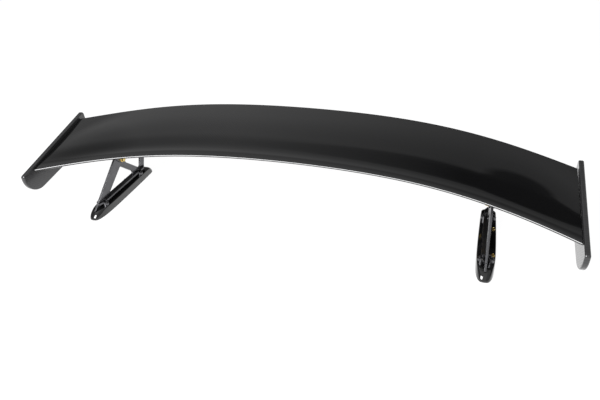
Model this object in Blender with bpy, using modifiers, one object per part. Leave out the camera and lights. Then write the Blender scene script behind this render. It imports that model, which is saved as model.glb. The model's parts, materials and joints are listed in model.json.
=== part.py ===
"""Racing rear wing on two bolted uprights.

The wing is a hollow carbon blade, swept forward at its tips, with an endplate on each end.
It hangs on two flat uprights, each screwed to a pedestal that sits on the boot lid.
The front bolt of each upright is a pivot, and the rear bolt clamps a slotted bracket, so
the wing's incidence can be set.

Frame: metres, +Z up, -Y to the front of the car, +X to the car's left.
The origin is under the middle of the bounding box, on the surface that the pedestals stand on.
Driving dimensions are in millimetres, with y measured from the middle of the pedestals.
"""

import math

import bmesh
import bpy
from mathutils import Matrix, Vector

MM = 0.001
GAP = 0.3                    # between pieces that touch
COLLECTION = "racing_rear_wing"

# wing: plan, arch and section
HALF_SPAN = 748.9
SPAN_REF = 750.0
NOSE_TIP = (-127.2, 125.6)   # leading edge at the tip: y, z
NOSE_SWEEP = (183.0, 45.0)
NOSE_ARCH = (20.3, 28.5, -28.1)
TAIL_TIP = (119.3, 188.0)    # upper corner of the trailing edge at the tip: y, z
TAIL_SWEEP = (182.0, 57.0)
TAIL_ARCH = (25.7, 21.1, -32.3)
CHORD = 254.5
THICKNESS = 0.095            # of the chord
CAMBER = 0.042               # of the chord, downwards
CAMBER_PLACE = 0.42
TAIL_THICKNESS = 3.0
SKIN = 1.2
SEAM = 4.0                   # chordwise place of the nose seam, on the lower side
SPAN_STEPS = 28
UPPER_ROWS = 15              # rows of faces along the chord, nose included
NOSE_ROWS = 4
LOWER_ROWS = 9
FRONT_SPAR = 88.0            # chordwise
REAR_SPAR = 158.0
SPAR_WEB = 3.0
BOND = 0.8                   # between spar or rib and skin
RIB = 10.0
RIB_RANGE = (22.0, 222.0)

# endplates
PLATE = 13.0
PLATE_INNER = 750.0
PLATE_EDGE = 3.5
PLATE_SCREWS = (62.0, 186.0)

# uprights
UPRIGHT_X = 555.0
WEB = 6.0
PIVOT = (24.0, 112.0)        # y, z
CLAMP = (160.0, 136.0)       # rear bolt: y, z
PIVOT_HEAD = 14.0
CLAMP_HEAD = 10.5
FOOT = 22.3                  # underside of the upright
RAIL_TOP = 35.0
RAIL_THICKNESS = 5.0
OPENING_LOW = 36.2
RAIL_IN = 12.5
RAIL_OUT = 6.0
BOSS_Y = (-101.0, 91.0)
BOSS_X = 11.0
BOSS_RADIUS = 9.0
BOSS_TOP = 39.0
BOSS_SLOPE = math.radians(32.0)
BOSS_SEAT = 26.0
INCIDENCE = math.radians(7.0)  # travel of the wing each way

# countersunk screws, M5
SCREW_RADIUS = 2.5
SCREW_HEAD = 5.4
SCREW_HEAD_HEIGHT = 2.8

# pedestals
PEDESTAL_FRONT = -160.0
PEDESTAL_REAR = 158.0
PEDESTAL_WIDE = (24.0, -50.0)  # half width, and where
PEDESTAL_END = 20.0          # half width at the rear corners
PEDESTAL_CORNER = 16.0       # radius at the rear corners
PEDESTAL_TOP = 22.0
PEDESTAL_WALL = 2.5
PEDESTAL_SHOULDER = 1.8
PEDESTAL_DRAFT = 0.035        # how much narrower the top is
PEDESTAL_RAKE = (32.0, 26.0)  # how far the top's ends stand in from the foot's: front, rear
PEDESTAL_BLUNT = 3.2          # exponent of the plan's nose, 2 for an ellipse
PEDESTAL_RINGS = (2.1, 8.0, 13.5, 17.6, 20.2, 21.4, 22.0)   # heights
GASKET = 1.5
BASE_PLATE = 5.0
LEDGE_BOLTS = ((16.0, -76.0), (14.5, 42.0))   # outwards from the web, y
LID_HOLES = (-45.0, 30.0)    # tapped holes for the boot lid's bolts: y

# brackets on the blade
CLEVIS_FLANGE = 3.0
CLEVIS_REACH = (29.0, 29.0)    # flange ahead of and behind the pivot
CLEVIS_HALF = 20.5
CLEVIS_CHEEK = 4.0
CLEVIS_SLACK = 0.6             # between the upright and a cheek
CLEVIS_SCREWS = ((14.0, -20.0), (-14.0, 20.0))   # outwards, and behind the pivot
SLIDER_FLANGE = 3.5
SLIDER_PLATE = 5.0
SLIDER_SLACK = 0.4             # between the upright and the slider
CLAMP_WASHER = 2.0
SLIDER_WIDTH = 24.0
SLIDER_REACH = (19.5, 22.0)
SLIDER_SCREWS = (12.0, 14.0)
SLIDER_SCREW_X = -17.0
HARDPOINT = 7.0

COLOURS = {
    "carbon": ((0.012, 0.012, 0.014), 0.18, 0.0),
    "plate_carbon": ((0.016, 0.016, 0.018), 0.25, 0.0),
    "anodised": ((0.030, 0.030, 0.033), 0.38, 0.6),
    "plastic": ((0.008, 0.008, 0.010), 0.15, 0.0),
    "alloy": ((0.55, 0.56, 0.58), 0.35, 1.0),
    "gold_zinc": ((0.72, 0.50, 0.16), 0.30, 1.0),
    "black_steel": ((0.020, 0.020, 0.022), 0.45, 0.8),
    "brass": ((0.60, 0.45, 0.20), 0.35, 1.0),
    "nylon": ((0.020, 0.020, 0.020), 0.60, 0.0),
    "rubber": ((0.010, 0.010, 0.010), 0.85, 0.0),
}


# ---------------------------------------------------------------- scene helpers

def clear_scene():
    for obj in list(bpy.data.objects):
        bpy.data.objects.remove(obj, do_unlink=True)


def new_collection(name):
    coll = bpy.data.collections.new(name)
    bpy.context.scene.collection.children.link(coll)
    return coll


def make_material(name, colour, roughness, metallic):
    mat = bpy.data.materials.new(name)
    mat.use_nodes = True
    shader = mat.node_tree.nodes["Principled BSDF"]
    shader.inputs["Base Color"].default_value = (*colour, 1.0)
    shader.inputs["Roughness"].default_value = roughness
    shader.inputs["Metallic"].default_value = metallic
    return mat


def add_object(name, data, coll, parent=None, location=(0, 0, 0), rotation=(0, 0, 0)):
    """Put data in coll as an object; location is in world millimetres."""
    obj = bpy.data.objects.new(name, data)
    coll.objects.link(obj)
    place = Vector(location) * MM
    if parent is not None:
        obj.parent = parent
        place = place - parent.location
    obj.location = place
    obj.rotation_euler = rotation
    return obj


def finish(obj, look, smooth=35.0):
    """Give obj its own material, and smooth shading with sharp edges."""
    colour, roughness, metallic = COLOURS[look]
    obj.data.materials.clear()
    obj.data.materials.append(make_material(obj.name, colour, roughness, metallic))
    obj.data.shade_smooth()
    obj.data.set_sharp_from_angle(angle=math.radians(smooth))
    return obj


def evaluated_mesh(obj):
    """A welded mesh of obj with its modifiers, in obj's own space."""
    bpy.context.view_layer.update()
    depsgraph = bpy.context.evaluated_depsgraph_get()
    mesh = bpy.data.meshes.new_from_object(obj.evaluated_get(depsgraph))
    bm = bmesh.new()
    bm.from_mesh(mesh)
    bmesh.ops.remove_doubles(bm, verts=bm.verts, dist=0.00001)
    bmesh.ops.dissolve_limit(bm, angle_limit=math.radians(0.2), verts=bm.verts, edges=bm.edges)
    bm.to_mesh(mesh)
    bm.free()
    return mesh


def bake(obj):
    """Turn a temporary object into its evaluated mesh, and remove it."""
    mesh = evaluated_mesh(obj)
    mesh.transform(obj.matrix_world)
    bpy.data.objects.remove(obj, do_unlink=True)
    return mesh


def boolean(obj, cutter, operation):
    mod = obj.modifiers.new(operation.lower(), "BOOLEAN")
    mod.operation = operation
    mod.solver = "EXACT"
    mod.object = cutter


def combine(meshes, operation, bench):
    """Join or cut the first mesh with the others, and give the result as one mesh."""
    base = add_object("work", meshes[0], bench)
    tools = [add_object("work_tool", mesh, bench) for mesh in meshes[1:]]
    for tool in tools:
        boolean(base, tool, operation)
    result = bake(base)
    for tool in tools:
        bpy.data.objects.remove(tool, do_unlink=True)
    return result


# ---------------------------------------------------------------- basic shapes, in millimetres

def mesh_from(bm, name="shape"):
    mesh = bpy.data.meshes.new(name)
    bm.to_mesh(mesh)
    bm.free()
    return mesh


def box(size, centre):
    bm = bmesh.new()
    scale = Matrix.Diagonal((*[v * MM for v in size], 1.0))
    bmesh.ops.create_cube(bm, size=1.0, matrix=Matrix.Translation(Vector(centre) * MM) @ scale)
    return mesh_from(bm)


def cone(radius_low, radius_high, low, high, segments=16, centre=(0, 0)):
    """A cylinder or cone along Z between two heights."""
    bm = bmesh.new()
    middle = Vector((centre[0], centre[1], (low + high) / 2)) * MM
    bmesh.ops.create_cone(bm, cap_ends=True, segments=segments, radius1=radius_low * MM,
                          radius2=radius_high * MM, depth=(high - low) * MM,
                          matrix=Matrix.Translation(middle))
    return mesh_from(bm)


def cylinder(radius, low, high, segments=16, centre=(0, 0)):
    return cone(radius, radius, low, high, segments, centre)


def tube(outer, inner, low, high, bench, segments=12, centre=(0, 0)):
    wall = cylinder(outer, low, high, segments, centre)
    hole = cylinder(inner, low - 1, high + 1, segments, centre)
    return combine([wall, hole], "DIFFERENCE", bench)


def shift(x, y, z):
    return Matrix.Translation(Vector((x, y, z)) * MM)


def rounded(corners, steps=5):
    """Points of a closed outline; each corner is (across, up, radius)."""
    points = []
    count = len(corners)
    for i, (across, up, radius) in enumerate(corners):
        here = Vector((across, up))
        back = (Vector(corners[i - 1][:2]) - here).normalized()
        ahead = (Vector(corners[(i + 1) % count][:2]) - here).normalized()
        half = back.angle(ahead) / 2
        if radius <= 0:
            points.append(here)
            continue
        bisector = (back + ahead).normalized()
        centre = here + bisector * radius / math.sin(half)
        start = here + back * radius / math.tan(half) - centre
        end = here + ahead * radius / math.tan(half) - centre
        turn = start.angle_signed(end)
        for k in range(steps + 1):
            spoke = start.copy()
            spoke.rotate(Matrix.Rotation(-turn * k / steps, 2))
            points.append(centre + spoke)
    return points


def sheet(points, low, high, bench, edge=0.0, edge_steps=0):
    """A flat outline in XY between two heights, with chamfered or rounded edges if asked."""
    curve = bpy.data.curves.new("outline", "CURVE")
    curve.dimensions = "2D"
    curve.fill_mode = "BOTH"
    curve.extrude = ((high - low) / 2 - edge) * MM
    curve.bevel_depth = edge * MM
    curve.bevel_resolution = edge_steps
    curve.offset = -edge * MM
    spline = curve.splines.new("POLY")
    spline.points.add(len(points) - 1)
    spline.use_cyclic_u = True
    for target, point in zip(spline.points, points):
        target.co = (point[0] * MM, point[1] * MM, 0.0, 1.0)
    mesh = bake(add_object("outline", curve, bench))
    mesh.transform(shift(0, 0, (low + high) / 2))
    return mesh


def side_plate(points, thickness, bench, edge=0.0, edge_steps=0):
    """A flat outline given as (y, z), standing in the YZ plane about x = 0."""
    mesh = sheet(points, -thickness / 2, thickness / 2, bench, edge, edge_steps)
    mesh.transform(Matrix(((0, 0, 1, 0), (1, 0, 0, 0), (0, 1, 0, 0), (0, 0, 0, 1))))
    return mesh


def across(mesh, y=0.0, z=0.0):
    """Turn a shape made along Z to lie along X, at the given y and z."""
    mesh.transform(shift(0, y, z) @ Matrix.Rotation(math.radians(90), 4, "Y"))
    return mesh


def arc(centre, radius, start, end, steps):
    """Points on an arc, angles in radians from the first axis."""
    angles = [start + (end - start) * k / steps for k in range(steps + 1)]
    return [Vector((centre[0] + radius * math.cos(a), centre[1] + radius * math.sin(a)))
            for a in angles]


# ---------------------------------------------------------------- wing geometry

def edge_point(u, tip, sweep, arch):
    """A point of the leading or trailing edge; u runs from -1 to 1 along the span."""
    inboard = 1.0 - u * u
    y = tip[0] + inboard * (sweep[0] + sweep[1] * u ** 2)
    z = tip[1] + inboard * (arch[0] + arch[1] * u ** 2 + arch[2] * u ** 4)
    return Vector((y, z))


def wing_point(x, along, above):
    """World place of a point given along the chord from the nose and above the chord line."""
    u = x / SPAN_REF
    nose = edge_point(u, NOSE_TIP, NOSE_SWEEP, NOSE_ARCH)
    tail = edge_point(u, TAIL_TIP, TAIL_SWEEP, TAIL_ARCH)
    chord = (tail - nose) / CHORD
    normal = Vector((-chord.y, chord.x)).normalized()
    place = nose + chord * along + normal * above
    return Vector((x, place.x, place.y))


def section_height(along, upper):
    """Height of the outer surface above the chord line."""
    s = min(max(along / CHORD, 0.0), 1.0)
    half = 5 * THICKNESS * (0.2969 * math.sqrt(s) - 0.126 * s - 0.3516 * s ** 2
                            + 0.2843 * s ** 3 - 0.1015 * s ** 4)
    p = CAMBER_PLACE
    if s < p:
        sag = CAMBER * (2 * p * s - s * s) / p ** 2
    else:
        sag = CAMBER * (1 - 2 * p + 2 * p * s - s * s) / (1 - p) ** 2
    tail = s * TAIL_THICKNESS / 2
    side = 1 if upper else -1
    return CHORD * (-sag + side * half) + side * tail - tail


def skin_point(x, along, upper, inset=0.0):
    """A point on a surface of the wing, inset towards its inside."""
    side = 1 if upper else -1
    step = 0.5
    rise = section_height(along + step, upper) - section_height(max(along - step, 0.0), upper)
    run = step + min(along, step)
    normal = Vector((-rise, run)).normalized() * side
    above = section_height(along, upper)
    return wing_point(x, along - normal.x * inset, above - normal.y * inset)


def spaced(t, start=0.0, end=CHORD):
    """Chordwise place with close spacing at the nose; t runs from 0 to 1."""
    return start + (end - start) * (1.0 - math.cos(t * math.pi / 2)) ** 1.15


def surface(columns, rows, place, thickness, offset, bench):
    """A grid bent to place(a, b), a and b from 0 to 1, and thickened by a Solidify modifier."""
    bm = bmesh.new()
    bmesh.ops.create_grid(bm, x_segments=columns, y_segments=rows, size=0.5)
    for vert in bm.verts:
        vert.co = place(vert.co.x + 0.5, vert.co.y + 0.5) * MM
    obj = add_object("surface", mesh_from(bm), bench)
    mod = obj.modifiers.new("wall", "SOLIDIFY")
    mod.thickness = thickness * MM
    mod.offset = offset
    return bake(obj)


def upper_skin_place(a, b):
    """The upper skin runs round the nose to its seam on the lower side."""
    x = HALF_SPAN * (2 * a - 1)
    row = round(b * UPPER_ROWS)
    if row < NOSE_ROWS:
        along = SEAM * ((NOSE_ROWS - row) / NOSE_ROWS) ** 2
        return skin_point(x, along, False)
    along = spaced((row - NOSE_ROWS) / (UPPER_ROWS - NOSE_ROWS))
    return skin_point(x, along, True)


def lower_skin_place(a, b):
    x = HALF_SPAN * (2 * a - 1)
    along = SEAM + 2 * GAP + (CHORD - SEAM - 2 * GAP) * b ** 1.35
    return skin_point(x, along, False)



# ---------------------------------------------------------------- fasteners, made along Z

def flange_bolt(diameter, length, flats, head, flange, bench):
    corner = flats / math.sqrt(3)
    skirt = cone(flange, corner * 0.95, 0, 1.8, 14)
    top = cylinder(corner, 1.0, head, 6)
    shank = cylinder(diameter / 2, -length, 0.5, 10)
    return combine([skirt, top, shank], "UNION", bench)


def socket_screw(diameter, length, head_radius, head, key, bench):
    top = cylinder(head_radius, 0, head, 14)
    shank = cylinder(diameter / 2, -length, 0.5, 10)
    body = combine([top, shank], "UNION", bench)
    socket = cylinder(key / math.sqrt(3), head * 0.4, head + 1, 6)
    return combine([body, socket], "DIFFERENCE", bench)


def sunk_screw(length, head_radius, key, bench):
    """A countersunk screw: its flat head is at z = 0 and its shank runs down."""
    head = SCREW_HEAD_HEIGHT
    top = cone(SCREW_RADIUS, head_radius, -head, 0, 12)
    shank = cylinder(SCREW_RADIUS - 0.05, -length, -head * 0.5, 10)
    body = combine([top, shank], "UNION", bench)
    socket = cylinder(key / math.sqrt(3), -head * 0.6, 1, 6)
    return combine([body, socket], "DIFFERENCE", bench)


def sink_cutter(head_radius, surface_at):
    """The countersink for a sunk screw whose head ends just under surface_at."""
    slope = (head_radius - SCREW_RADIUS) / SCREW_HEAD_HEIGHT
    low = -SCREW_HEAD_HEIGHT - 0.1
    return cone(SCREW_RADIUS + 0.35, SCREW_RADIUS + 0.35 + slope * (0.5 - low),
                surface_at + low, surface_at + 0.5, 12)


def flange_nut(diameter, flats, height, flange, bench):
    corner = flats / math.sqrt(3)
    skirt = cone(flange, corner * 0.95, 0, 1.8, 14)
    block = combine([skirt, cylinder(corner, 1.0, height, 6)], "UNION", bench)
    hole = cylinder(diameter / 2 + GAP, -1, height + 1, 12)
    return combine([block, hole], "DIFFERENCE", bench)


# ---------------------------------------------------------------- shapes of the parts

def upright_mesh(bench):
    """Flat web with a triangular opening, a foot rail and four screw bosses."""
    outline = rounded([
        (-134.0, FOOT, 0.0), (-142.0, 21.1, 0.0), (-149.3, 17.6, 0.8), (-6.0, 124.5, 6.0),
        (38.0, 127.0, PIVOT_HEAD), (43.5, 90.5, 10.0), (101.5, 41.0, 7.0),
        (110.0, 40.0, 5.0), (147.0, 141.0, CLAMP_HEAD), (163.0, 149.0, CLAMP_HEAD * 0.8),
        (173.0, 138.0, CLAMP_HEAD * 0.8), (128.0, FOOT, 2.0)], 4)
    opening = rounded([(-70.0, OPENING_LOW, 3.0), (12.5, 92.0, 6.0), (77.0, OPENING_LOW, 6.0)], 3)
    web = side_plate(outline, WEB, bench, 0.7)
    rail = sheet(rounded([
        (-1.8, -128.0, 1.6), (-RAIL_IN, -106.0, 10.0), (-RAIL_IN, 116.0, 8.0), (-4.0, 131.0, 4.0),
        (3.5, 131.0, 2.0), (RAIL_OUT, 118.0, 6.0), (RAIL_OUT, -112.0, 10.0),
        (1.8, -128.0, 1.6)], 3), RAIL_TOP - RAIL_THICKNESS, RAIL_TOP, bench)
    bosses = []
    pockets = [side_plate(opening, WEB * 3, bench)]
    for y in BOSS_Y:
        for side in (-1, 1):
            bosses.append(boss_mesh(side, y, bench))
            place = (side * BOSS_X, y)
            pockets.append(cylinder(BOSS_RADIUS - 2.1, BOSS_SEAT, BOSS_TOP + 20, 16, place))
            pockets.append(cylinder(4.4, FOOT - 1, BOSS_SEAT + 1, 12, place))
    pockets.append(across(cylinder(6.3, -WEB, WEB, 16), *PIVOT))
    pockets.append(across(cylinder(4.3, -WEB, WEB, 12), *CLAMP))
    body = combine([web, rail] + bosses, "UNION", bench)
    return combine([body] + pockets, "DIFFERENCE", bench)


def boss_mesh(side, y, bench):
    """A round boss against the web, its top sloping down away from it."""
    boss = cylinder(BOSS_RADIUS, FOOT, BOSS_TOP + 4, 18, (side * BOSS_X, y))
    slope = box((60, 40, 30), (18, 0, 15))
    turn = Matrix.Rotation(BOSS_SLOPE, 4, "Y")
    slope.transform(shift(side * WEB / 2, y, BOSS_TOP) @ Matrix.Rotation(
        0 if side > 0 else math.pi, 4, "Z") @ turn)
    return combine([boss, slope], "DIFFERENCE", bench)


def pedestal_outline(inset, level=0.0):
    """Plan at a level from 0, the foot, to 1, the top: a blunt nose and a rounded rear end."""
    raked = 1.0 - math.sqrt(1.0 - level * level)
    narrow = PEDESTAL_DRAFT * level
    widest = PEDESTAL_WIDE[1]
    half = PEDESTAL_WIDE[0] * (1.0 - narrow) - inset
    end = PEDESTAL_END * (1.0 - narrow) - inset
    front = PEDESTAL_FRONT + PEDESTAL_RAKE[0] * raked + inset
    rear = PEDESTAL_REAR - PEDESTAL_RAKE[1] * raked - inset
    power = 2.0 / PEDESTAL_BLUNT
    nose_steps = 9
    side = []
    for k in range(1, nose_steps + 1):
        turn = math.pi / 2 * k / nose_steps
        reach = (widest - front) * max(math.cos(turn), 0.0) ** power
        side.append((half * math.sin(turn) ** power, widest - reach, 0))
    for part in (0.35, 0.7):
        side.append((half - (half - end) * part ** 1.7, widest + (rear - widest) * part, 0))
    side.append((end - 0.5, rear, PEDESTAL_CORNER - inset))
    other = [(-x, y, radius) for x, y, radius in reversed(side)]
    return rounded([(0.0, front, 0)] + side + other, 4)


def pedestal_block(inset, heights):
    """A solid with the pedestal's shape, its surface moved in by an inset."""
    bm = bmesh.new()
    rings = []
    for z in heights:
        level = min((z + inset) / PEDESTAL_TOP, 1.0)
        rise = max(z + inset - (PEDESTAL_TOP - PEDESTAL_SHOULDER), 0.0) / PEDESTAL_SHOULDER
        turned_in = PEDESTAL_SHOULDER * (1.0 - math.sqrt(1.0 - min(rise, 1.0) ** 2))
        outline = pedestal_outline(inset + turned_in, level)
        rings.append([bm.verts.new(Vector((x, y, z)) * MM) for x, y in outline])
    for lower, upper in zip(rings, rings[1:]):
        for i in range(len(lower)):
            bm.faces.new((lower[i - 1], lower[i], upper[i], upper[i - 1]))
    bm.faces.new(rings[0])
    bm.faces.new(rings[-1])
    bmesh.ops.recalc_face_normals(bm, faces=bm.faces)
    return mesh_from(bm)


def pedestal_mesh(holes, bench):
    """A hollow shell, open below, with raked ends, a rounded shoulder and bosses inside."""
    block = pedestal_block(0.0, PEDESTAL_RINGS)
    inside = [-5.0] + [z for z in PEDESTAL_RINGS[1:] if z + PEDESTAL_WALL < PEDESTAL_TOP]
    cavity = pedestal_block(PEDESTAL_WALL, inside + [PEDESTAL_TOP - PEDESTAL_WALL])
    screws, bolts = pedestal_places()
    foot = GASKET + BASE_PLATE + 2 * GAP
    top = PEDESTAL_TOP - PEDESTAL_WALL / 2
    bosses = [cylinder(7.0, foot, top, 12, place) for place in screws]
    bosses += [cylinder(5.5, foot, top, 10, place) for place in bolts]
    shell = combine([block, cavity], "DIFFERENCE", bench)
    body = combine([shell] + bosses, "UNION", bench)
    return combine([body] + holes, "DIFFERENCE", bench)


def pedestal_places():
    """Places of the upright's screws and of the ledge bolts on the left pedestal."""
    screws = [(side * BOSS_X, y) for y in BOSS_Y for side in (-1, 1)]
    return screws, list(LEDGE_BOLTS)


def base_holes(low, high, screw_radius, bolt_radius):
    screws, bolts = pedestal_places()
    holes = [cylinder(screw_radius, low, high, 10, place) for place in screws]
    return holes + [cylinder(bolt_radius, low, high, 10, place) for place in bolts]


def endplate_mesh(bench):
    outline = rounded([(-171.5, 128.8, 6.0), (143.0, 205.8, 9.0), (152.0, 106.5, 22.0),
                       (-171.5, 52.5, 55.0)], 6)
    plate = side_plate(outline, PLATE, bench, PLATE_EDGE, 2)
    plate.transform(shift(PLATE_INNER + PLATE / 2, 0, 0))
    cutters = []
    for y, z in rib_screw_places():
        cutters.append(across(cylinder(2.8, 740, 770, 12), y, z))
        cutters.append(across(sink_cutter(SCREW_HEAD, PLATE_INNER + PLATE), y, z))
    return combine([plate] + cutters, "DIFFERENCE", bench)


def rib_screw_places():
    """Places, in y and z, of the screws through an endplate into its rib."""
    places = []
    for along in PLATE_SCREWS:
        middle = (section_height(along, True) + section_height(along, False)) / 2
        point = wing_point(HALF_SPAN - RIB / 2, along, middle)
        places.append((point.y, point.z))
    return places


def rib_mesh(bench):
    """A closing rib that follows the section inside the skins, with holes for the screws."""
    steps = 10
    low, high = RIB_RANGE
    alongs = [low + (high - low) * k / steps for k in range(steps + 1)]
    inset = SKIN + 2 * BOND
    outline = [(a, section_height(a, True) - inset) for a in alongs]
    outline += [(a, section_height(a, False) + inset) for a in reversed(alongs)]
    mesh = sheet(outline, HALF_SPAN - RIB, HALF_SPAN, bench)
    for vert in mesh.vertices:
        along, above, x = vert.co / MM
        vert.co = wing_point(x, along, above) * MM
    holes = [across(cylinder(2.8, 700, 760, 12), y, z) for y, z in rib_screw_places()]
    return combine([mesh] + holes, "DIFFERENCE", bench)


def spar_mesh(along, bench):
    """A web from skin to skin, chordwise at along, between the end ribs."""
    reach = HALF_SPAN - RIB - 3 * GAP
    low = section_height(along, False) + SKIN + BOND
    high = section_height(along, True) - SKIN - BOND

    def place(a, b):
        return wing_point(reach * (2 * a - 1), along, low + (high - low) * b)
    return surface(SPAN_STEPS, 1, place, SPAR_WEB, 0.0, bench)


# ---------------------------------------------------------------- brackets under the wing

def surface_matrix(x, along):
    """A frame on the lower surface: Y back along it, Z out of the wing."""
    here = skin_point(x, along, False)
    back = (skin_point(x, along + 1.0, False) - skin_point(x, along - 1.0, False)).normalized()
    out = Vector((1, 0, 0)).cross(back) * -1
    turn = Matrix((Vector((-1, 0, 0)), back, out)).transposed().to_4x4()
    return Matrix.Translation(here * MM) @ turn


def nearest_along(x, y, z):
    """Chordwise place on the lower surface that is nearest to a point under it."""
    low, high = 0.0, CHORD
    for _ in range(40):
        along = (low + high) / 2
        here = skin_point(x, along, False)
        ahead = skin_point(x, along + 1.0, False)
        if (Vector((x, y, z)) - here).dot(ahead - here) > 0:
            low = along
        else:
            high = along
    return along


def bracket_screws():
    """Frames of the screws of the front clevis and of the rear slider, on the left side."""
    front = nearest_along(UPRIGHT_X, *PIVOT)
    rear = nearest_along(UPRIGHT_X, *CLAMP)
    clevis = [surface_matrix(UPRIGHT_X + x, front + step) for x, step in CLEVIS_SCREWS]
    slider = [surface_matrix(UPRIGHT_X + SLIDER_SCREW_X, rear + step)
              for step in (-SLIDER_SCREWS[0], SLIDER_SCREWS[1])]
    return front, rear, clevis, slider


def placed(mesh, matrices):
    """Copies of a mesh, each a mesh of its own, at the given frames."""
    result = []
    for matrix in matrices:
        body = mesh.copy()
        body.transform(matrix)
        result.append(body)
    return result


def screw_holes(frames, flange):
    """Cutters for countersunk screws through a flange, the skin and the plate inside."""
    cutters = placed(cylinder(2.8, -20, flange + 4, 10), frames)
    sink = sink_cutter(SCREW_HEAD, flange + GAP)
    return cutters + placed(sink, frames)


def lower_sheet(x_range, along_range, inset, thickness, side, bench, columns=3, rows=5):
    """A plate that follows the lower surface from inset; side is 1 into the wing, -1 out."""
    def place(a, b):
        x = x_range[0] + (x_range[1] - x_range[0]) * a
        along = along_range[0] + (along_range[1] - along_range[0]) * b
        return skin_point(x, along, False, inset)
    return surface(columns, rows, place, thickness, float(side), bench)


def wing_cutter(along, bench):
    """The space above a bracket's cheeks, which end inside its flange."""
    return lower_sheet((UPRIGHT_X - 40, UPRIGHT_X + 40), (max(along - 55, 3), along + 50),
                       -GAP - 1.2, 45.0, 1, bench, 1, 7)


def clevis_mesh(front, frames, bench):
    """Two cheeks round the upright's head, on a flange that follows the wing."""
    flange = lower_sheet((UPRIGHT_X - CLEVIS_HALF, UPRIGHT_X + CLEVIS_HALF),
                         (front - CLEVIS_REACH[0], front + CLEVIS_REACH[1]),
                         -GAP, CLEVIS_FLANGE, -1, bench)
    below = math.radians(135), math.radians(60)
    bisector = sum(below) / 2
    reach = (PIVOT_HEAD - 3) / math.sin((below[0] - below[1]) / 2)
    corner = Vector(PIVOT) - Vector((math.cos(bisector), math.sin(bisector))) * reach
    front_top = corner + Vector((math.cos(below[0]), math.sin(below[0]))) * 62
    rear_top = corner + Vector((math.cos(below[1]), math.sin(below[1]))) * 62
    outline = rounded([(*corner, PIVOT_HEAD - 3), (*front_top, 0), (*rear_top, 0)], 6)
    cheeks = []
    for side in (-1, 1):
        cheek = side_plate(outline, CLEVIS_CHEEK, bench)
        cheek.transform(shift(UPRIGHT_X + side * (WEB / 2 + CLEVIS_SLACK + CLEVIS_CHEEK / 2), 0, 0))
        cheeks.append(cheek)
    cheeks = [combine([cheek, wing_cutter(front, bench)], "DIFFERENCE", bench)
              for cheek in cheeks]
    body = combine([flange] + cheeks, "UNION", bench)
    hole = across(cylinder(4.3, UPRIGHT_X - 20, UPRIGHT_X + 20, 12), *PIVOT)
    room = box((WEB + 2 * CLEVIS_SLACK, 60, 40), (UPRIGHT_X, PIVOT[0] - 12, PIVOT[1] + 20))
    cutters = [hole, room] + screw_holes(frames, CLEVIS_FLANGE)
    return combine([body] + cutters, "DIFFERENCE", bench)


def slider_mesh(rear, frames, bench):
    """A plate with a curved slot about the pivot, on a flange that follows the wing."""
    inner = UPRIGHT_X - WEB / 2 - SLIDER_SLACK
    flange = lower_sheet((inner - SLIDER_WIDTH, inner),
                         (rear - SLIDER_REACH[0], rear + SLIDER_REACH[1]),
                         -GAP, SLIDER_FLANGE, -1, bench)
    lever = Vector(CLAMP) - Vector(PIVOT)
    radius = lever.length
    rest = math.atan2(lever.y, lever.x)

    def polar(offset, angle):
        return (PIVOT[0] + (radius + offset) * math.cos(rest + angle),
                PIVOT[1] + (radius + offset) * math.sin(rest + angle))
    low = -INCIDENCE - math.radians(4.6)
    high = INCIDENCE + math.radians(2.0)
    outline = rounded([(*polar(-10, high), 12), (*polar(-10, low), 8.5), (*polar(10, low), 8.5),
                       (*polar(10, high), 12), (*polar(34, math.radians(22)), 0),
                       (*polar(-34, math.radians(22)), 0)], 4)
    plate = side_plate(outline, SLIDER_PLATE, bench)
    plate.transform(shift(inner - SLIDER_PLATE / 2, 0, 0))
    plate = combine([plate, wing_cutter(rear, bench)], "DIFFERENCE", bench)
    body = combine([flange, plate], "UNION", bench)
    half = 4.4
    slot = (arc(PIVOT, radius + half, rest - INCIDENCE, rest + INCIDENCE, 4)
            + arc(polar(0, INCIDENCE), half, rest + INCIDENCE, rest + INCIDENCE + math.pi, 6)[1:-1]
            + arc(PIVOT, radius - half, rest + INCIDENCE, rest - INCIDENCE, 4)
            + arc(polar(0, -INCIDENCE), half, rest - INCIDENCE + math.pi,
                  rest - INCIDENCE + 2 * math.pi, 6)[1:-1])
    cutter = side_plate(slot, 60, bench)
    cutter.transform(shift(UPRIGHT_X, 0, 0))
    return combine([body, cutter] + screw_holes(frames, SLIDER_FLANGE), "DIFFERENCE", bench)


# ---------------------------------------------------------------- the assembly

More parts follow.
